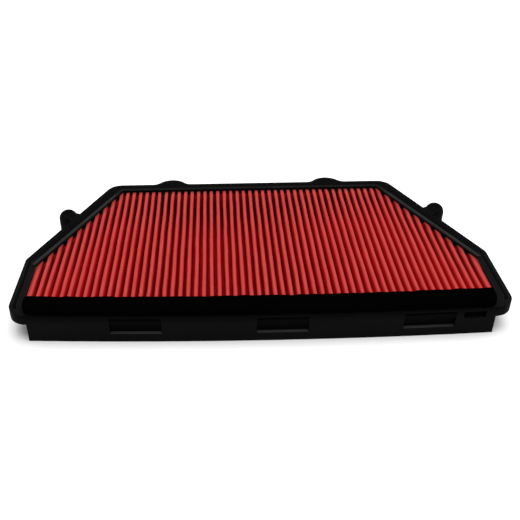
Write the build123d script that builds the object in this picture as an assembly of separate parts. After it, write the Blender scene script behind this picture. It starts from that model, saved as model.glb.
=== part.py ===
"""Panel air filter of a motorcycle: a moulded tray frame with a pleated paper pack
bonded into it, a foam seal along the front and a rubber cord seal round the other sides.

Millimetres.  +X runs along the long front edge, +Y from the front edge to the rear edge,
+Z up, out of the dirty side of the paper.  The origin is the middle of the underside.
"""
import os
from math import atan2, degrees, floor, hypot

from build123d import *

# ---- overall sizes of the frame --------------------------------------------------------
frame_width = 318.4        # over the two short end edges
frame_depth = 174.0        # from the middle of the bowed front edge to the rear edge
frame_height = 20.0        # from the underside to the top of the flange
rear_width = 221.2         # where the slanted edges would meet the rear edge
kink_depth = 67.0          # behind the front edge, where an end edge turns into a slanted edge
front_bow = 4.4            # how far the middle of the front edge stands forward of its ends
front_corner_radius = 12.5
kink_radius = 7.0
rear_corner_radius = 12.0

# ---- flange, skirt and seal groove -----------------------------------------------------
plate_thickness = 2.4
skirt_drop = 7.0           # from the top of the flange to the lower edge of the skirt
skirt_wall = 1.8
rim_width = 2.2            # flange left outside the groove
groove_width = 2.3
groove_depth = 1.4
groove_front_gap = 11.5    # from the front edge to the two ends of the groove

# ---- chamber that holds the paper ------------------------------------------------------
end_flange = 8.4           # flange beside the short ends of the chamber
front_flange = 17.5        # flange in front of the chamber, under the foam seal
rear_flange = 11.7
rear_corner_inset = 9.1    # from the frame's rear corner to the chamber's, along X
kink_lead = 8.4            # the chamber turns in this far before the frame's edge does
chamber_corner_radius = 2.0
chamber_wall = 1.6
ridge_height = 1.5         # rib above the flange, round the slanted and rear sides of the chamber
ridge_width = 2.5
shelf_thickness = 1.8      # step in the chamber's short ends, under the last pleats
sill_width = 3.0           # inward lip under the edge of the paper
sill_thickness = 1.8
bar_width = 4.0            # two bars under the paper, from front to rear
bar_height = 3.0
bar_spacing = 133.0        # roughly: each bar lies under the nearest ridge of the paper
tooth_width = 1.4          # sloping webs in the two valleys beside that ridge, at both ends
tooth_length = 14.0
tooth_flat = 4.0           # level part of a web's top edge, beside the chamber wall
tooth_top_gap = 1.2        # from there to the top of the flange
tooth_fall = 9.0           # from there to the tip of the web

# ---- front wall ------------------------------------------------------------------------
front_wall = 2.0
box_inset = 2.7            # from the side of the chamber to the end of the front wall
stiffener_count = 8        # webs between the front wall and the chamber
stiffener_thickness = 1.6
recess_wall = 1.6          # behind and around a pocket
latch_left_gap = 68.3      # from the left end of the front wall to the middle of the left pocket
latch_right_gap = 41.5     # the same at the right; the third pocket is halfway between them
latch_width = 32.5
latch_height = 11.5
latch_depth = 2.6
latch_top_gap = 2.2        # from the top of the flange to the top of a pocket
tongue_height = 3.4        # step in the back of a pocket
tongue_reach = 1.8
tongue_top_gap = 1.7
notch_end_gap = 13.4       # from the right end of the front wall to the middle of the small recess
notch_width = 14.0
notch_height = 5.0
notch_depth = 3.4
notch_top_gap = 2.6

# ---- lobes and studs outside the flange ------------------------------------------------
lobe_spacing = 125.0
lobe_radius = 12.5
lobe_reach = 7.4           # beyond the rear edge
lobe_blend = 8.0
stud_radius = 7.0
stud_reach = 15.6          # beyond the slanted edge
stud_rise = 65.0           # from the outer kink to the stud, along the slanted edge
stud_proud = 2.6           # from the top of the flange to the top of the stud
stud_bottom = 4.0          # from the underside of the frame to the foot of the stud
stud_crown = 6.8
neck_width = 10.0
neck_top_gap = 1.4         # from the top of the flange to the top of the neck

# ---- paper, bond and seals -------------------------------------------------------------
pleat_pitch = 5.11
paper_thickness = 0.7
fold_width = 2.9           # over a fold
end_lip = 3.0              # paper turned down over the shelf at each short end
paper_gap = 0.8            # from the chamber wall to the pleat ends, filled by the bond
side_gap = 0.6             # from the last pleats to the chamber's end walls
bond_drop = 9.0            # from the pleat tops to the top of the bond
seal_width = 14.5
seal_height = 4.7
seal_end_gap = 11.3        # from the ends of the frame to the ends of the foam seal
seal_corner_radius = 7.0
seal_edge_radius = 1.2
cord_clearance = 0.15
cord_proud = 0.3

# ---- places that follow from the sizes above -------------------------------------------
front_y = -(frame_depth + lobe_reach) / 2
rear_y = front_y + frame_depth
half_width = frame_width / 2
rear_half = rear_width / 2
kink_y = front_y + kink_depth
top = frame_height
skirt_bottom = top - skirt_drop
bow_radius = (half_width ** 2 + front_bow ** 2) / (2 * front_bow)

chamber_half = half_width - end_flange
chamber_front_y = front_y + front_flange
chamber_kink_y = kink_y - kink_lead
chamber_rear_half = rear_half - rear_corner_inset
chamber_rear_y = rear_y - rear_flange
chamber_slant = (chamber_half - chamber_rear_half) / (chamber_rear_y - chamber_kink_y)
shelf_top = skirt_bottom + shelf_thickness

paper_bottom = bar_height
ridges_each_side = floor((chamber_half - side_gap - fold_width / 2) / pleat_pitch)
last_ridge = ridges_each_side * pleat_pitch
fold_half = (fold_width - paper_thickness) / 2
lower_half = last_ridge - fold_half + paper_thickness / 2 + side_gap
bar_x = round(bar_spacing / 2 / pleat_pitch) * pleat_pitch
box_half = lower_half + chamber_wall - box_inset


def bow(x):
    """How far the front edge lies behind its middle, at a distance x to the side."""
    return bow_radius - (bow_radius ** 2 - x ** 2) ** 0.5


def six_sided(half, front, kink, narrow_half, rear):
    """Plan outline: bowed front edge, straight ends, slanted sides, straight rear edge."""
    left = (-half, front + bow(half))
    right = (half, front + bow(half))
    sides = Polyline(right, (half, kink), (narrow_half, rear), (-narrow_half, rear), (-half, kink), left)
    return make_face([ThreePointArc(left, (0, front), right), *sides.edges()])


def rounded(face, front_radius, kink_corner, rear_radius):
    """The same outline with its three pairs of corners rounded."""
    face = fillet(face.vertices().group_by(Axis.Y)[2], rear_radius)
    face = fillet(face.vertices().group_by(Axis.Y)[1], kink_corner)
    return fillet(face.vertices().group_by(Axis.Y)[0], front_radius)


def front_strip(half, near, far):
    """Plan strip that follows the bow of the front edge, between two distances behind it."""
    y = (front_y + near, front_y + far)
    corners = [(-half, y[0] + bow(half)), (half, y[0] + bow(half)),
               (half, y[1] + bow(half)), (-half, y[1] + bow(half))]
    return make_face([
        ThreePointArc(corners[0], (0, y[0]), corners[1]),
        Line(corners[1], corners[2]),
        ThreePointArc(corners[2], (0, y[1]), corners[3]),
        Line(corners[3], corners[0]),
    ])


def slab(face, bottom, height):
    """Plan outline as a solid that starts at a height."""
    return extrude(Pos(0, 0, bottom) * face, height)


def grown(face, distance):
    """Plan outline moved outwards, or inwards where the distance is negative."""
    return offset(face, distance, kind=Kind.INTERSECTION)


def block(x_range, y_range, z_range):
    """Straight block between two places along each axis."""
    spans = [b - a for a, b in (x_range, y_range, z_range)]
    middle = [(a + b) / 2 for a, b in (x_range, y_range, z_range)]
    return Pos(*middle) * Box(*spans)


def behind(y):
    """Everything on the rear side of a line across the frame."""
    return block((-half_width, half_width), (y, y + 2 * frame_depth), (-top, 2 * top))


def front_piece(centre, width, near, far, bottom, height):
    """Block that follows the bow of the front wall."""
    band = slab(front_strip(half_width, near, far), bottom, height)
    return band & block((centre - width / 2, centre + width / 2), (front_y - top, front_y + 2 * top),
                        (bottom - 1, bottom + height + 1))


# ---- outlines --------------------------------------------------------------------------
def flange_outline():
    """Outer edge of the flange, with its two lobes on the rear edge."""
    face = rounded(six_sided(half_width, front_y, kink_y, rear_half, rear_y),
                   front_corner_radius, kink_radius, rear_corner_radius)
    for side in (-1, 1):
        face += Pos(side * lobe_spacing / 2, rear_y + lobe_reach - lobe_radius) * Circle(lobe_radius)
    joints = [v for v in face.vertices() if abs(v.Y - rear_y) < 0.001
              and abs(abs(v.X) - lobe_spacing / 2) < lobe_radius]
    return fillet(joints, lobe_blend)


def chamber_outline(half):
    """Inside of the chamber wall, for the wide upper part or the narrower lower part."""
    kink = chamber_kink_y + (chamber_half - half) / chamber_slant
    face = six_sided(half, chamber_front_y, kink, chamber_rear_half, chamber_rear_y)
    return rounded(face, chamber_corner_radius, chamber_corner_radius, chamber_corner_radius)


flange = flange_outline()
upper = chamber_outline(chamber_half)
lower = chamber_outline(lower_half)


# ---- moulded frame ---------------------------------------------------------------------
def stud_place(side):
    """Middle of a stud and the direction square out of its slanted edge."""
    run, fall = rear_y - kink_y, half_width - rear_half
    length = hypot(run, fall)
    along = (-side * fall / length, run / length)
    out = (side * run / length, fall / length)
    foot = (side * half_width + along[0] * stud_rise, kink_y + along[1] * stud_rise)
    return foot, out


def stud(side):
    """Upright locating stud with a domed top, and the neck that joins it to the skirt."""
    foot, out = stud_place(side)
    reach = stud_reach - stud_radius
    post = Pos(0, 0, stud_bottom) * extrude(Circle(stud_radius), top + stud_proud - stud_bottom)
    post = fillet(post.edges().group_by(Axis.Z)[-1], stud_crown)
    neck = block((-reach - skirt_wall, 0), (-neck_width / 2, neck_width / 2), (skirt_bottom, top - neck_top_gap))
    turned = Rot(0, 0, degrees(atan2(out[1], out[0])))
    return Pos(foot[0] + out[0] * reach, foot[1] + out[1] * reach) * turned * (post + neck)


def flange_solid():
    """Top plate with the skirt that hangs from its edge."""
    under = slab(grown(flange, -skirt_wall), 0, top - plate_thickness)
    return slab(flange, skirt_bottom, skirt_drop) - under


def chamber_solid():
    """Walls round the paper, with the raised ridge, the end shelves and the sill."""
    outer_upper, outer_lower = grown(upper, chamber_wall), grown(lower, chamber_wall)
    walls = slab(outer_upper, skirt_bottom, skirt_drop) + slab(outer_lower, 0, shelf_top)
    ridge = slab(grown(upper, ridge_width), top - plate_thickness, plate_thickness + ridge_height)
    ridge &= behind(chamber_kink_y)
    return walls + ridge


def hollow():
    """Space inside the chamber walls, down to the sill and through the open underside."""
    sill_bottom = bar_height - sill_thickness
    space = slab(upper, shelf_top, 2 * top) + slab(lower, bar_height, shelf_top)
    opening = slab(grown(lower, -sill_width), -1, top)
    return space + opening + slab(lower, -1, 1 + sill_bottom)


def tooth(x, wall_y, inward):
    """Sloping web between two pleats, on the front or rear wall of the chamber."""
    low, high = bar_height + 2 * paper_thickness, top - tooth_top_gap
    root, tip = wall_y - inward * chamber_wall / 2, wall_y + inward * tooth_length
    side = make_face(Polyline((root, low), (tip, low), (tip, high - tooth_fall),
                              (wall_y + inward * tooth_flat, high), (root, high), close=True))
    return extrude(Pos(x, 0, 0) * (Plane.YZ * side), tooth_width / 2, both=True)


def bars_and_teeth():
    """Bars across the open underside and the webs that part the pleats above them."""
    parts = []
    for x in (-bar_x, bar_x):
        front_end, rear_end = chamber_front_y + bow(x), chamber_rear_y
        parts.append(block((x - bar_width / 2, x + bar_width / 2),
                           (front_end - chamber_wall / 2, rear_end + chamber_wall / 2), (0, bar_height)))
        for valley in (x - pleat_pitch / 2, x + pleat_pitch / 2):
            parts += [tooth(valley, front_end, 1), tooth(valley, rear_end, -1)]
    return parts


def latch_centres():
    """Places of the three latch pockets along the front wall."""
    left, right = latch_left_gap - box_half, box_half - latch_right_gap
    return [left, (left + right) / 2, right]


def front_box():
    """Front wall with its returns, stiffeners and the backs of its pockets."""
    inner_half = box_half - chamber_wall
    shell = slab(front_strip(box_half, 0, front_flange), 0, top)
    room = front_strip(inner_half, front_wall, front_flange - chamber_wall)
    shell -= slab(room, -1, 1 + top - plate_thickness)
    step = 2 * inner_half / (stiffener_count + 1)
    for number in range(1, stiffener_count + 1):
        shell += front_piece(number * step - inner_half, stiffener_thickness, front_wall / 2,
                             front_flange - chamber_wall / 2, bar_height, top - bar_height)
    for centre in latch_centres():
        low = top - latch_top_gap - latch_height - recess_wall
        shell += front_piece(centre, latch_width + 2 * recess_wall, front_wall / 2,
                             latch_depth + recess_wall, low, top - low)
    low = top - notch_top_gap - notch_height - recess_wall
    return shell + front_piece(box_half - notch_end_gap, notch_width + 2 * recess_wall, front_wall / 2,
                               notch_depth + recess_wall, low, top - low)


def pockets():
    """Recesses cut into the front wall: three with a stepped back, and the small one."""
    cuts = []
    for centre in latch_centres():
        low = top - latch_top_gap - latch_height
        pocket = front_piece(centre, latch_width, -1, latch_depth, low, latch_height)
        tongue_low = top - latch_top_gap - tongue_top_gap - tongue_height
        pocket -= front_piece(centre, latch_width + 1, latch_depth - tongue_reach, latch_depth + 1,
                              tongue_low, tongue_height)
        cuts.append(pocket)
    cuts.append(front_piece(box_half - notch_end_gap, notch_width, -1, notch_depth,
                            top - notch_top_gap - notch_height, notch_height))
    return cuts


def groove_ring(clearance):
    """Plan of the seal groove, or of the cord that lies in it with a clearance."""
    return grown(flange, -rim_width - clearance) - grown(flange, clearance - rim_width - groove_width)


def frame_solid():
    """The whole moulding as one solid."""
    body = flange_solid() + chamber_solid() + front_box()
    for side in (-1, 1):
        body += stud(side)
    body -= hollow()
    for piece in bars_and_teeth():
        body += piece
    for cut in pockets():
        body -= cut
    groove = slab(groove_ring(0), top - groove_depth, 2 * groove_depth)
    return body - (groove & behind(front_y + groove_front_gap))


# ---- pleated paper ---------------------------------------------------------------------
def pleat_section():
    """Cross-section of the folded paper, seen along the folds."""
    half_fold, inner = fold_width / 2, fold_width / 2 - paper_thickness
    reach = pleat_pitch / 2
    upper_side, lower_side = [], []
    for number in range(-ridges_each_side, ridges_each_side + 1):
        x = number * pleat_pitch
        upper_side += [(x - half_fold, top), (x + half_fold, top)]
        lower_side += [(x - inner, top - paper_thickness), (x + inner, top - paper_thickness)]
        if number < ridges_each_side:
            valley = x + reach
            upper_side += [(valley - inner, paper_bottom + paper_thickness),
                           (valley + inner, paper_bottom + paper_thickness)]
            lower_side += [(valley - half_fold, paper_bottom), (valley + half_fold, paper_bottom)]
    edge = last_ridge + half_fold
    lip = [(edge, top - end_lip), (edge - paper_thickness, top - end_lip)]
    other_lip = [(-x, z) for x, z in reversed(lip)]
    return upper_side + lip + lower_side[::-1] + other_lip


def paper_solid():
    """Folded sheet, cut to the outline of the chamber less the gap for the bond."""
    section = make_face(Polyline(*pleat_section(), close=True))
    sheet = extrude(Pos(0, front_y, 0) * (Plane.XZ * section), -2 * frame_depth)
    outline = grown(upper, -paper_gap)
    room = block((-half_width, half_width), (chamber_front_y + paper_gap + bow(chamber_half), chamber_kink_y),
                 (0, 2 * top))
    return sheet & (slab(outline, 0, 2 * top) + room)


# ---- bond ------------------------------------------------------------------------------
def bond_pieces():
    """Glue between the paper and the chamber walls: front, rear, left and right beads."""
    flank = last_ridge - fold_half + paper_thickness / 2
    front_line = chamber_front_y + bow(lower_half) + paper_gap
    rear_line = chamber_rear_y - paper_gap
    core = slab(grown(upper, -paper_gap), 0, 2 * top) & block((-flank, flank), (front_y, rear_y), (0, top))
    ring = slab(lower, paper_bottom, top - bond_drop - paper_bottom) - core
    for piece in bars_and_teeth():
        ring -= piece
    spans = {
        "front_bond": ((-half_width, half_width), (front_y, front_line)),
        "rear_bond": ((-half_width, half_width), (rear_line, rear_y)),
        "left_bond": ((-half_width, 0), (front_line, rear_line)),
        "right_bond": ((0, half_width), (front_line, rear_line)),
    }
    return {name: ring & block(*span, (0, top)) for name, span in spans.items()}


# ---- seals -----------------------------------------------------------------------------
def front_seal():
    """Foam strip on the front of the flange, flush with the front wall."""
    plan = front_strip(half_width - seal_end_gap, 0, seal_width)
    plan = fillet(plan.vertices().group_by(Axis.Y)[0], seal_corner_radius)
    strip = slab(plan, top, seal_height)
    return fillet(strip.edges().group_by(Axis.Z)[-1], seal_edge_radius)


def rim_seal():
    """Rubber cord in the groove, standing a little proud of the flange."""
    cord = slab(groove_ring(cord_clearance), top - groove_depth, groove_depth + cord_proud)
    return cord & behind(front_y + groove_front_gap + cord_clearance)


def write(name, shape):
    """Write one piece as parts/NAME.step."""
    shape = shape.clean()
    shape.label = name
    export_step(shape, f"parts/{name}.step")
    print(f"{name:14s} solids {len(shape.solids())}  volume {shape.volume:10.1f}")


def main():
    os.makedirs("parts", exist_ok=True)
    pieces = {"frame": frame_solid(), "pleated_paper": paper_solid(),
              "front_seal": front_seal(), "rim_seal": rim_seal()}
    pieces.update(bond_pieces())
    for name, shape in pieces.items():
        write(name, shape)


main()
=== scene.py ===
import math

import bpy
from mathutils import Matrix, Vector, noise


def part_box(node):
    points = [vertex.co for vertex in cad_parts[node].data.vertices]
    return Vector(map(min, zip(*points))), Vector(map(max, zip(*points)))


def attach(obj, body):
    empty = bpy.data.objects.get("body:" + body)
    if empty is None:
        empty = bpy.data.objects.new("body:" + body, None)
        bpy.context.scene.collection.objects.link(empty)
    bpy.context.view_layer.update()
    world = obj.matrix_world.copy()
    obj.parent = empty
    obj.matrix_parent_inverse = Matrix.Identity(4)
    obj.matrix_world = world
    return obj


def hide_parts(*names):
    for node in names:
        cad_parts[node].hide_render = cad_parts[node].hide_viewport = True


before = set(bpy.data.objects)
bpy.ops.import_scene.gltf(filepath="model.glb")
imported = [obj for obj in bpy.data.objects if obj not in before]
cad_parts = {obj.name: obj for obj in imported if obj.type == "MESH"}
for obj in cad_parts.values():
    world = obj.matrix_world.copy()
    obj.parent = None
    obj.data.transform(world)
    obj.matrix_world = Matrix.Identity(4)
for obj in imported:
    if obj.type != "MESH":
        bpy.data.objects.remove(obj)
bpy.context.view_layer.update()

# Looks of a motorcycle's panel air filter: a black moulded tray frame, red pleated paper,
# a foam strip along the front, a rubber cord in the groove of the flange, and the
# sealant that holds the edges of the paper.  Lengths are metres unless a name ends in _mm.

MM = 0.001

# ---- sizes of the frame that the paper follows, in millimetres ---------------------------
half_width_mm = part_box("frame")[1][0] / MM
front_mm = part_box("frame")[0][1] / MM
front_bow_mm = 4.4               # how far the middle of the front edge stands forward
chamber_front_mm = front_mm + 17.5
chamber_half_mm = 150.8
chamber_kink_mm = -32.1          # where the straight ends of the chamber turn in
chamber_rear_half_mm = 101.5
chamber_rear_mm = 71.6
paper_gap_mm = 0.3               # from the chamber wall to the pleat ends
bow_radius_mm = (half_width_mm ** 2 + front_bow_mm ** 2) / (2 * front_bow_mm)
wall_front_mm = -80.0            # the front wall and its pockets lie ahead of this line

# ---- pleated paper, in millimetres -------------------------------------------------------
pitch_mm = 5.11
ridges_each_side = 29
sheet_mm = 0.56                  # thickness of the paper
crest_radius_mm = 1.02           # middle of the sheet, over a fold
paper_low_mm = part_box("pleated_paper")[0][2] / MM
paper_high_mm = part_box("pleated_paper")[1][2] / MM
lip_mm = 3.0                     # sheet turned down at each short end
sway_mm = 0.24                   # how far a fold wanders from its place
lift_mm = 0.22                   # how much the folds differ in height
end_dip_mm = 0.6                 # how far a ridge drops where it meets the chamber wall
end_rise_mm = 13.5               # how far the valleys are pinched up there
pinch_length_mm = 17.0           # at the rear and slanted sides; the front ends stay deep
end_length_mm = 3.0              # from the end of a ridge to where it is level
# from an end of the sheet to its nearest rows of points
end_steps_mm = (0, 0.35, 0.8, 1.4, 2.1, 3.0, 4.2, 5.6, 7.2, 9.0, 11.0, 13.0)
middle_steps = 30                # rows of points between those at the ends
end_edge_mm = 150.1              # where the sheet's two outer edges lie, beside the flange
web_valleys = (12.5, 13.5)       # valleys that hold the frame's webs, in pleats from the middle
web_push_mm = 0.55               # how far a web pushes the folds beside it apart
web_length_mm = 9.0              # how far in from the ends of the folds

# ---- cord in the groove, in millimetres --------------------------------------------------
cord_inset_mm = 3.35             # from the edge of the flange to the middle of the cord
cord_half_mm = 1.0
cord_low_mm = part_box("rim_seal")[0][2] / MM
cord_high_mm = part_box("rim_seal")[1][2] / MM
cord_start_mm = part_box("rim_seal")[0][1] / MM
front_corner_mm = 12.5           # radii of the flange's corners
kink_mm = -23.7                  # where an end edge of the flange turns into a slanted edge
kink_radius_mm = 7.0
rear_mm = 83.3                   # rear edge of the flange
rear_half_mm = 110.6             # where the slanted edges would meet the rear edge
rear_corner_mm = 12.0
lobe_middle_mm = 62.5            # two lobes on the rear edge, which the cord follows
lobe_radius_mm = 12.5
lobe_reach_mm = 7.4
lobe_blend_mm = 8.0
cord_step_mm = 1.5               # between two cross-sections of the cord
cord_wander_mm = 0.09

# ---- foam strip, in millimetres ----------------------------------------------------------
foam_bottom_mm = 20.5            # nothing below this height is lifted
foam_lift_mm = 0.9               # how much higher the rear edge stands
foam_lift_height_mm = 4.0
foam_slope_mm = 12.0             # from the front edge to where it stands at its full height
foam_stretch = 1.004
foam_shift_mm = -0.8             # sideways


def bow(x_mm):
    """How far the front edge lies behind its middle, at a distance x to the side."""
    return bow_radius_mm - math.sqrt(bow_radius_mm ** 2 - x_mm ** 2)


def smooth(share):
    """0 to 1 with no sudden start or stop."""
    share = min(max(share, 0.0), 1.0)
    return share * share * (3 - 2 * share)


# ---- camera, floor and light -------------------------------------------------------------
def camera():
    """Stands in front of the filter, a little to the left of its middle, looking down on it."""
    place = Vector((-0.0261, -0.44224, 0.2973))
    down, turn, roll = (math.radians(a) for a in (33.84, 0.19, 0.97))
    ahead = Vector((math.sin(turn) * math.cos(down), math.cos(turn) * math.cos(down), -math.sin(down)))
    level = Vector((math.cos(turn), -math.sin(turn), 0))
    under = ahead.cross(level)
    right = math.cos(roll) * level + math.sin(roll) * under
    below = math.cos(roll) * under - math.sin(roll) * level
    data = bpy.data.cameras.new("camera")
    data.lens = 50.2
    data.sensor_width = 36
    data.shift_x = 0.0763
    data.clip_start = 0.01
    data.clip_end = 20
    made = bpy.data.objects.new("camera", data)
    made.matrix_world = Matrix.Translation(place) @ Matrix((right, -below, -ahead)).transposed().to_4x4()
    bpy.context.collection.objects.link(made)
    bpy.context.scene.camera = made


def floor():
    """Plain pale floor that the filter lies on."""
    half = 3.0
    mesh = bpy.data.meshes.new("floor")
    corners = [(-half, -half, 0), (half, -half, 0), (half, half, 0), (-half, half, 0)]
    mesh.from_pydata(corners, [], [(0, 1, 2, 3)])
    made = bpy.data.objects.new("floor", mesh)
    bpy.context.collection.objects.link(made)
    look = Look("floor_white", (0.93, 0.93, 0.93), roughness=0.9, specular=0.1)
    grain = look.noise(60, detail=3)
    look.colour(look.blend(grain, (0.91, 0.91, 0.915), (0.95, 0.95, 0.95)))
    mesh.materials.append(look.material)


def area_light(name, place, target, size, power):
    """Soft square lamp at a place, turned towards a target."""
    data = bpy.data.lights.new(name, "AREA")
    data.shape = "SQUARE"
    data.size = size
    data.energy = power
    made = bpy.data.objects.new(name, data)
    made.location = place
    aim = Vector(target) - Vector(place)
    made.rotation_euler = aim.to_track_quat("-Z", "Y").to_euler()
    bpy.context.collection.objects.link(made)


def lights():
    """Dim white surroundings under one very broad, soft lamp."""
    world = bpy.data.worlds.new("studio")
    world.use_nodes = True
    background = world.node_tree.nodes["Background"]
    background.inputs["Color"].default_value = (1, 1, 1, 1)
    background.inputs["Strength"].default_value = 0.46
    bpy.context.scene.world = world
    area_light("overhead", (0.1, 0.15, 1.6), (0, 0, 0), 2.4, 50)
    bpy.context.scene.view_settings.view_transform = "Standard"


# ---- materials ---------------------------------------------------------------------------
class Look:
    """A procedural material on the Principled shader, in object space."""

    def __init__(self, name, base, roughness, specular):
        self.slot = name
        self.material = bpy.data.materials.new(name)
        self.material.use_nodes = True
        self.nodes = self.material.node_tree.nodes
        self.links = self.material.node_tree.links
        self.shader = self.nodes["Principled BSDF"]
        self.shader.inputs["Base Color"].default_value = (*base, 1)
        self.shader.inputs["Roughness"].default_value = roughness
        self.shader.inputs["Specular IOR Level"].default_value = specular
        self.place = self.nodes.new("ShaderNodeTexCoord").outputs["Object"]

    def feed(self, node, socket, value):
        """Sets a socket to a number or colour, or joins it to another node's output."""
        target = node.inputs[socket]
        if isinstance(value, bpy.types.NodeSocket):
            self.links.new(value, target)
        elif isinstance(value, (tuple, list)) and target.type == "RGBA":
            target.default_value = (*value, 1)
        else:
            target.default_value = value

    def axes(self):
        """The three coordinates of object space, in metres."""
        node = self.nodes.new("ShaderNodeSeparateXYZ")
        self.feed(node, "Vector", self.place)
        return node.outputs["X"], node.outputs["Y"], node.outputs["Z"]

    def past_slant(self, across, along, half_mm, kink_at_mm, rear_half_at_mm, rear_at_mm):
        """Metres outside the line from a side's kink to its rear corner, the same on both sides."""
        lean = math.atan2(half_mm - rear_half_at_mm, rear_at_mm - kink_at_mm)
        sideways = self.maths("MULTIPLY", self.maths("ABSOLUTE", across, 0.0), math.cos(lean))
        total = self.maths("ADD", sideways, self.maths("MULTIPLY", along, math.sin(lean)))
        return self.maths("SUBTRACT", total, (half_mm * math.cos(lean) + kink_at_mm * math.sin(lean)) * MM)

    def facing_up(self):
        """1 on surfaces that face up, 0 on upright ones."""
        node = self.nodes.new("ShaderNodeSeparateXYZ")
        self.feed(node, "Vector", self.nodes.new("ShaderNodeTexCoord").outputs["Normal"])
        return node.outputs["Z"]

    def stretched(self, scale):
        """Object space scaled by a different number along each axis."""
        node = self.nodes.new("ShaderNodeMapping")
        self.feed(node, "Vector", self.place)
        self.feed(node, "Scale", scale)
        return node.outputs["Vector"]

    def noise(self, scale, detail=4.0, roughness=0.55, space=None):
        """Soft mottling, about 1 / scale metres across."""
        node = self.nodes.new("ShaderNodeTexNoise")
        self.feed(node, "Vector", space or self.place)
        self.feed(node, "Scale", scale)
        self.feed(node, "Detail", detail)
        self.feed(node, "Roughness", roughness)
        return node.outputs["Fac"]

    def cells(self, scale, randomness=1.0):
        """Rounded cells, dark in their middles, about 1 / scale metres across."""
        node = self.nodes.new("ShaderNodeTexVoronoi")
        self.feed(node, "Vector", self.place)
        self.feed(node, "Scale", scale)
        self.feed(node, "Randomness", randomness)
        return node.outputs["Distance"]

    def span(self, value, low, high, to_low=0.0, to_high=1.0):
        """Stretches a range of a field to another range."""
        node = self.nodes.new("ShaderNodeMapRange")
        self.feed(node, "Value", value)
        for socket, number in zip(("From Min", "From Max", "To Min", "To Max"), (low, high, to_low, to_high)):
            self.feed(node, socket, number)
        return node.outputs["Result"]

    def maths(self, operation, first, second):
        """One sum of two fields or numbers."""
        node = self.nodes.new("ShaderNodeMath")
        node.operation = operation
        self.feed(node, 0, first)
        self.feed(node, 1, second)
        return node.outputs["Value"]

    def blend(self, share, first, second):
        """Mixes two colours by a field."""
        node = self.nodes.new("ShaderNodeMix")
        node.data_type = "RGBA"
        self.feed(node, 0, share)
        self.feed(node, 6, first)
        self.feed(node, 7, second)
        return node.outputs[2]

    def edges(self, radius):
        """1 along the sharp edges of the piece, 0 elsewhere, and the normal that rounds them."""
        bevel = self.nodes.new("ShaderNodeBevel")
        bevel.samples = 6
        self.feed(bevel, "Radius", radius)
        flat = self.nodes.new("ShaderNodeNewGeometry").outputs["Normal"]
        dot = self.nodes.new("ShaderNodeVectorMath")
        dot.operation = "DOT_PRODUCT"
        self.feed(dot, 0, bevel.outputs["Normal"])
        self.feed(dot, 1, flat)
        return self.span(dot.outputs["Value"], 0.995, 0.8), bevel.outputs["Normal"]

    def bump(self, height, distance, normal=None):
        """Small relief of a field, given as its height in metres, on the shader's normal."""
        node = self.nodes.new("ShaderNodeBump")
        self.feed(node, "Height", height)
        self.feed(node, "Distance", distance)
        if normal is not None:
            self.feed(node, "Normal", normal)
        return node.outputs["Normal"]

    def colour(self, value):
        self.feed(self.shader, "Base Color", value)

    def roughness(self, value):
        self.feed(self.shader, "Roughness", value)

    def normal(self, value):
        self.feed(self.shader, "Normal", value)


def grey(level, blue=0.0):
    """A neutral colour, or one with a little more blue."""
    return (level, level, level + blue)


def plastic_walls(look, height, depth):
    """Upright surfaces: painted shade under the foam and in the pockets of the front wall."""
    # painted shade on the front wall, darkest at its top just below the foam strip
    wall = look.blend(look.span(height, 0.020, 0.0135), grey(0.0009), grey(0.0044))
    # painted shade on the recessed backs of the pockets
    wall = look.blend(look.span(depth, 0.0003, 0.0007, 0.0, 0.7), wall, grey(0.0003))
    return look.blend(look.span(depth, 0.006, 0.010), wall, grey(0.0042))


def moulded_plastic():
    """Black moulded plastic: spark grain, flow marks and dust specks, with painted shade on the walls and
    rear flange and painted highlights on the edges, the rib round the paper and the pocket ledges.
    """
    look = Look("moulded_plastic", grey(0.003), roughness=0.5, specular=0.012)
    across, along, height = look.axes()
    grain = look.noise(2600, detail=3, roughness=0.6)
    flow = look.span(look.noise(38, detail=5, roughness=0.6, space=look.stretched((1, 2.4, 1.5))), 0.3, 0.7)
    specks = look.span(look.noise(900, detail=2), 0.66, 0.74)
    edge, rounded = look.edges(0.0009)
    upward = look.span(look.facing_up(), 0.7, 0.95)
    outward = look.past_slant(across, along, half_width_mm, kink_mm, rear_half_mm, rear_mm)
    squared = look.maths("MULTIPLY", across, across)
    bowed = look.maths("MULTIPLY", squared, front_bow_mm / half_width_mm ** 2 / MM)
    depth = look.maths("SUBTRACT", look.maths("SUBTRACT", along, front_mm * MM), bowed)

    # painted light and shade by facing: level surfaces get their own tone, and painted shade darkens the
    # flange behind the kinks
    flat = look.blend(look.span(along, -0.032, -0.016), grey(0.0048, 0.0001), grey(0.0004))
    body = look.blend(upward, plastic_walls(look, height, depth), flat)

    # raised rib round the paper: painted highlight, stronger along the slanted sides than at the rear
    rib = look.maths("MULTIPLY", look.span(height, 0.0202, 0.0206), look.span(outward, -0.004, -0.006))
    painted_rib_highlight = look.blend(look.span(along, 0.058, 0.070), grey(0.020, 0.0005), grey(0.0058, 0.0001))
    body = look.blend(rib, body, painted_rib_highlight)

    # painted highlight on the ledges at the bottom of the pockets
    front_part = look.span(along, (wall_front_mm + 2) * MM, wall_front_mm * MM)
    painted_ledge_highlight = look.maths("MULTIPLY", look.span(height, 0.0085, 0.0075), front_part)
    body = look.blend(look.maths("MULTIPLY", painted_ledge_highlight, upward), body, grey(0.042, 0.001))

    # painted highlight along the edges, then specks of dust and flow marks over everything
    painted_edge_highlight = look.maths("MULTIPLY", edge, look.span(along, -0.082, -0.078, 0.05, 0.8))
    body = look.blend(painted_edge_highlight, body, grey(0.021, 0.0005))
    body = look.blend(look.maths("MULTIPLY", specks, 0.15), body, (0.014, 0.0135, 0.013))
    look.colour(look.blend(look.maths("MULTIPLY", flow, 0.25), body, grey(0.001)))
    look.roughness(look.span(flow, 0, 1, 0.44, 0.58))
    look.normal(look.bump(grain, 0.00003, rounded))
    return look


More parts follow.
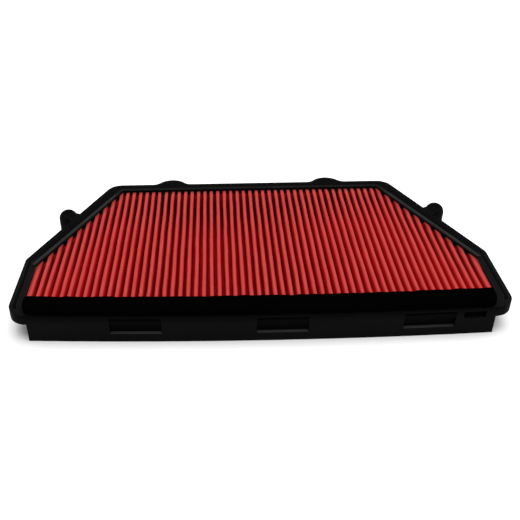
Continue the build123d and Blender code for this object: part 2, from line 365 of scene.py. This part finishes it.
def filter_paper():
    """Red oiled filter paper: deep red flanks, paler crests of painted sheen, painted shade near the walls,
    matted fibres and blotches of oil.
    """
    look = Look("filter_paper", (0.5, 0.02, 0.02), roughness=0.8, specular=0.06)
    across, along, height = look.axes()
    fibres = look.noise(1500, detail=6, roughness=0.75, space=look.stretched((1, 0.35, 1)))
    matted = look.noise(3400, detail=3, roughness=0.7)
    blotches = look.noise(90, detail=5, roughness=0.6)
    streaks = look.noise(420, detail=4, roughness=0.6, space=look.stretched((1, 0.06, 0.3)))

    # deep red flanks, with painted shade darkening them towards the rear and slanted walls
    flank = look.blend(look.span(blotches, 0.3, 0.7), (0.54, 0.004, 0.006), (0.62, 0.006, 0.008))
    past_side = look.past_slant(across, along, chamber_half_mm, chamber_kink_mm,
                                chamber_rear_half_mm, chamber_rear_mm)
    past_rear = look.maths("SUBTRACT", along, chamber_rear_mm * MM)
    shade = look.maths("MAXIMUM", look.span(past_side, -0.024, -0.001, 0.0, 0.75),
                       look.span(past_rear, -0.050, -0.005, 0.0, 0.92))
    shaded_flank = look.blend(shade, flank, (0.05, 0.0003, 0.0003))

    # paler, pinker crests, which are painted sheen, with painted shade at their tips
    crest = look.blend(look.span(blotches, 0.3, 0.7), (0.385, 0.038, 0.035), (0.43, 0.046, 0.043))
    tips = look.span(look.maths("MAXIMUM", past_side, past_rear), -0.0055, -0.0004, 0.0, 0.8)
    ended = look.blend(tips, crest, (0.06, 0.002, 0.002))
    top = paper_high_mm * MM
    body = look.blend(look.span(height, top - 0.0024, top - 0.0003), shaded_flank, ended)

    # faint streaks along the folds, and pale fibres
    streaked = look.blend(look.span(streaks, 0.42, 0.72, 0.0, 0.35), body, (0.36, 0.012, 0.012))
    look.colour(look.blend(look.span(fibres, 0.55, 0.8, 0.0, 0.3), streaked, (0.52, 0.07, 0.065)))
    look.roughness(look.span(blotches, 0.3, 0.7, 0.72, 0.88))
    look.normal(look.bump(matted, 0.00004, look.bump(fibres, 0.00009)))
    return look


def foam():
    """Dull black foam: fine open cells of two sizes in a cut surface, with painted shade in the cells' pits.
    """
    look = Look("foam", grey(0.0004), roughness=1.0, specular=0.0)
    small, large = look.cells(2100), look.cells(950)
    coarse = look.maths("MULTIPLY", look.span(large, 0.1, 0.5), 0.8)
    cells = look.maths("ADD", look.span(small, 0.1, 0.6), coarse)
    wear = look.noise(60, detail=4)
    walls = look.blend(look.span(wear, 0.35, 0.7), grey(0.0005), grey(0.0009))
    # painted shade: the pits of the cells are darker than the walls between them
    look.colour(look.blend(look.span(cells, 0.3, 1.3), grey(0.0001), walls))
    look.normal(look.bump(cells, 0.00022))
    return look


def seal_rubber():
    """Matt black rubber with a fine mould grain."""
    look = Look("seal_rubber", grey(0.0012), roughness=0.7, specular=0.02)
    grain, bloom = look.noise(2900, detail=3), look.noise(120, detail=4)
    look.colour(look.blend(look.span(bloom, 0.4, 0.75), grey(0.0008), grey(0.0018, 0.0001)))
    look.roughness(look.span(bloom, 0.3, 0.7, 0.62, 0.8))
    look.normal(look.bump(grain, 0.00004))
    return look


def bond():
    """Cast sealant: dark, slightly glossy, with soft ripples and small pinholes."""
    look = Look("bond", (0.03, 0.026, 0.022), roughness=0.4, specular=0.35)
    ripples, pinholes = look.noise(260, detail=3), look.cells(520)
    pits = look.span(pinholes, 0.0, 0.16)
    look.colour(look.blend(ripples, (0.022, 0.019, 0.016), (0.05, 0.043, 0.036)))
    look.roughness(look.span(ripples, 0.3, 0.7, 0.3, 0.5))
    look.normal(look.bump(pits, 0.00012, look.bump(ripples, 0.0003)))
    return look


# ---- pieces ------------------------------------------------------------------------------
def piece(name, mesh, look, *nodes):
    """Adds a mesh that stands for one or more CAD nodes, smooth and in one material."""
    made = bpy.data.objects.new(name, mesh)
    bpy.context.collection.objects.link(made)
    mesh.materials.clear()
    mesh.materials.append(look.material)
    mesh.polygons.foreach_set("use_smooth", [True] * len(mesh.polygons))
    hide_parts(*nodes)
    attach(made, "root")
    return made


def fold_line():
    """The sheet seen along its folds: points (across, height) from the left lip to the right."""
    valley_radius = pitch_mm / 2 - crest_radius_mm
    crest_middle = paper_high_mm - sheet_mm / 2 - crest_radius_mm
    valley_middle = paper_low_mm + sheet_mm / 2 + valley_radius
    crest_turns, valley_turns, flank_steps = 10, 8, 5
    lip_low = paper_high_mm - lip_mm
    points = []
    for number in range(-ridges_each_side, ridges_each_side + 1):
        across = number * pitch_mm
        if number == -ridges_each_side:
            points += [(-end_edge_mm, lip_low), (-end_edge_mm, paper_high_mm - 1.1)]
        for step in range(crest_turns + 1):
            angle = math.pi * (1 - step / crest_turns)
            points.append((across + crest_radius_mm * math.cos(angle),
                           crest_middle + crest_radius_mm * math.sin(angle)))
        if number == ridges_each_side:
            points += [(end_edge_mm, paper_high_mm - 1.1), (end_edge_mm, lip_low)]
            break
        rise = (crest_middle - valley_middle) / flank_steps
        flank = [valley_middle + rise * step for step in range(1, flank_steps)]
        points += [(across + crest_radius_mm, height) for height in reversed(flank)]
        for step in range(valley_turns + 1):
            angle = math.pi * (1 + step / valley_turns)
            points.append((across + pitch_mm / 2 + valley_radius * math.cos(angle),
                           valley_middle + valley_radius * math.sin(angle)))
        points += [(across + pitch_mm - crest_radius_mm, height) for height in flank]
    return points


def pleat_ends(across):
    """Front and rear ends of the sheet at a distance across: bowed front, slanted or straight rear."""
    slant = (chamber_half_mm - chamber_rear_half_mm) / (chamber_rear_mm - chamber_kink_mm)
    side_gap = paper_gap_mm * math.hypot(1, slant) / slant
    on_slant = chamber_kink_mm + (chamber_half_mm - abs(across)) / slant - side_gap
    rear = min(chamber_rear_mm - paper_gap_mm, max(on_slant, chamber_kink_mm - 1))
    return chamber_front_mm + paper_gap_mm + bow(across), rear


def along_the_fold(front, rear):
    """Places along a fold, close together where its ends dip."""
    first, last = front + end_steps_mm[-1], rear - end_steps_mm[-1]
    middle = [first + (last - first) * step / middle_steps for step in range(1, middle_steps)]
    return [front + d for d in end_steps_mm] + middle + [rear - d for d in reversed(end_steps_mm)]


def settled(across, along, height, front, rear):
    """Moves a point of the perfect sheet the way real folds wander, vary and dip at their ends."""
    share = (height - paper_low_mm) / (paper_high_mm - paper_low_mm)
    inner = smooth(min(along - front, rear - along) / end_length_mm)
    fold = across / pitch_mm
    sway = sway_mm * noise.noise(Vector((fold * 0.8, along / 26, 3.7)))
    sway += 0.4 * sway_mm * noise.noise(Vector((fold * 0.9, along / 7, 9.1)))
    lift = lift_mm * noise.noise(Vector((fold * 0.75, along / 38, 17.3)))
    dip = end_dip_mm * (1 + 0.3 * noise.noise(Vector((fold * 0.9, 5.2, 0)))) * (1 - inner) ** 1.5
    near = 1 - smooth(min(along - front, rear - along) / web_length_mm)
    sideways = sway * (0.35 + 0.65 * inner)
    for valley in web_valleys:
        away = abs(fold) - valley
        sideways += math.copysign(web_push_mm, fold * away) * near * max(0.0, 1 - abs(away)) ** 0.5
    pinched = (1 - smooth((rear - along) / pinch_length_mm)) * (1 - share) * end_rise_mm
    return Vector((across + sideways, along, height + share * (lift * inner - dip * share) + pinched))


def pleated_paper(look):
    """The folded sheet, with every fold bent, spaced and sunk a little differently."""
    line = fold_line()
    vertices, rows = [], None
    for across, height in line:
        front, rear = pleat_ends(across)
        places = along_the_fold(front, rear)
        vertices += [settled(across, along, height, front, rear) * MM for along in places]
        rows = len(places)
    faces = [(c * rows + r, c * rows + r + 1, (c + 1) * rows + r + 1, (c + 1) * rows + r)
             for c in range(len(line) - 1) for r in range(rows - 1)]
    mesh = bpy.data.meshes.new("pleated_paper_sheet")
    mesh.from_pydata(vertices, [], faces)
    made = piece("pleated_paper_sheet", mesh, look, "pleated_paper")
    thickness = made.modifiers.new("thickness", "SOLIDIFY")
    thickness.thickness = sheet_mm * MM
    thickness.offset = 0
    return made


def arc(centre, radius, start, end):
    """Points a few degrees apart on an arc; the angles are degrees."""
    steps = max(2, round(abs(end - start) / 6))
    turns = [math.radians(start + (end - start) * step / steps) for step in range(steps + 1)]
    return [(centre[0] + radius * math.cos(a), centre[1] + radius * math.sin(a)) for a in turns]


def cord_line():
    """Middle of the cord in plan, from its right end round the rear to its left end."""
    inset = cord_inset_mm
    lean = math.degrees(math.atan2(half_width_mm - rear_half_mm, rear_mm - kink_mm))
    front_x = half_width_mm - front_corner_mm
    front_y = front_mm + bow_radius_mm - math.sqrt((bow_radius_mm - front_corner_mm) ** 2 - front_x ** 2)
    start = math.degrees(math.asin((cord_start_mm - front_y) / (front_corner_mm - inset)))
    kink_y = kink_mm - kink_radius_mm * math.tan(math.radians(lean / 2))
    rear_x = rear_half_mm - rear_corner_mm * math.tan(math.radians((90 - lean) / 2))
    lobe_y = rear_mm + lobe_reach_mm - lobe_radius_mm
    rise = math.degrees(math.asin((rear_mm + lobe_blend_mm - lobe_y) / (lobe_radius_mm + lobe_blend_mm)))
    apart = (lobe_radius_mm + lobe_blend_mm) * math.cos(math.radians(rise))
    half = arc((front_x, front_y), front_corner_mm - inset, start, 0)
    half += arc((half_width_mm - kink_radius_mm, kink_y), kink_radius_mm - inset, 0, lean)
    half += arc((rear_x, rear_mm - rear_corner_mm), rear_corner_mm - inset, lean, 90)
    half += arc((lobe_middle_mm + apart, rear_mm + lobe_blend_mm), lobe_blend_mm + inset, -90, rise - 180)
    half += arc((lobe_middle_mm, lobe_y), lobe_radius_mm - inset, rise, 180 - rise)
    half += arc((lobe_middle_mm - apart, rear_mm + lobe_blend_mm), lobe_blend_mm + inset, -rise, -90)
    corners = half + [(-x, y) for x, y in reversed(half)]
    line = [Vector(corners[0])]
    for corner in corners[1:]:
        span = Vector(corner) - line[-1]
        steps = max(1, round(span.length / cord_step_mm))
        line += [line[-1] + span * step / steps for step in range(1, steps + 1)]
    return line


def cord(look):
    """Rubber bead pressed into the groove, a little uneven along its length."""
    line = cord_line()
    tall = cord_high_mm - cord_low_mm
    outline = [(-1, 0), (-1, 0.3), (-1, 0.62), (-0.86, 0.84), (-0.5, 0.96), (0, 1),
               (0.5, 0.96), (0.86, 0.84), (1, 0.62), (1, 0.3), (1, 0)]
    vertices = []
    for number, place in enumerate(line):
        ahead = (line[min(number + 1, len(line) - 1)] - line[max(number - 1, 0)]).normalized()
        side = Vector((ahead.y, -ahead.x))
        wander = cord_wander_mm * noise.noise(Vector((*(place / 14), 2.1)))
        swell = 1 + 0.05 * noise.noise(Vector((*(place / 6), 8.4)))
        ends = smooth(min(number + 1, len(line) - number) / 3)
        for across, share in outline:
            flat = place + side * (wander + across * cord_half_mm * swell * (0.6 + 0.4 * ends))
            sunk = 1 - 0.08 * abs(wander) / cord_wander_mm
            height = cord_low_mm + tall * share * (0.7 + 0.3 * ends) * sunk
            vertices.append(Vector((*flat, height)) * MM)
    count = len(outline)
    faces = []
    for row in range(len(line) - 1):
        first, second = row * count, (row + 1) * count
        for c in range(count):
            after = (c + 1) % count
            faces.append((first + c, first + after, second + after, second + c))
    faces += [tuple(reversed(range(count))), tuple(range((len(line) - 1) * count, len(line) * count))]
    mesh = bpy.data.meshes.new("rim_cord")
    mesh.from_pydata(vertices, [], faces)
    return piece("rim_cord", mesh, look, "rim_seal")


def swollen(place):
    """Foam strip pushed a little to the left and standing up along its rear edge."""
    behind_mm = place.y / MM - front_mm - bow(place.x / MM)
    above_mm = max(0.0, place.z / MM - foam_bottom_mm)
    lift_up_mm = foam_lift_mm * smooth(behind_mm / foam_slope_mm) * above_mm / foam_lift_height_mm
    return Vector((place.x * foam_stretch + foam_shift_mm * MM, place.y, place.z + lift_up_mm * MM))


def soft_copy(name, node, look, voxel, rounds, lump, lump_size, reshape=None):
    """A CAD solid's shape with its edges softened and its surface made a little uneven."""
    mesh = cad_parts[node].data.copy()
    mesh.name = name
    made = piece(name, mesh, look, node)
    remesh = made.modifiers.new("voxels", "REMESH")
    remesh.mode = "VOXEL"
    remesh.voxel_size = voxel
    relax = made.modifiers.new("relax", "SMOOTH")
    relax.factor = 0.5
    relax.iterations = rounds
    view = bpy.context.evaluated_depsgraph_get()
    soft = bpy.data.meshes.new_from_object(made.evaluated_get(view))
    made.modifiers.clear()
    made.data = soft
    normals = [v.normal.copy() for v in soft.vertices]
    for vertex, normal in zip(soft.vertices, normals):
        vertex.co += normal * lump * noise.noise(vertex.co / lump_size)
        if reshape:
            vertex.co = reshape(vertex.co)
    soft.polygons.foreach_set("use_smooth", [True] * len(soft.polygons))
    return made


camera()
floor()
lights()
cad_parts["frame"].data.materials.clear()
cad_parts["frame"].data.materials.append(moulded_plastic().material)
pleated_paper(filter_paper())
strip = soft_copy("front_foam_strip", "front_seal", foam(), 0.0007, 3, 0.0003, 0.006, swollen)
cord(seal_rubber())
sealant = bond()
for side in ("front", "rear", "left", "right"):
    soft_copy(f"{side}_sealant", f"{side}_bond", sealant, 0.0005, 3, 0.0003, 0.004)
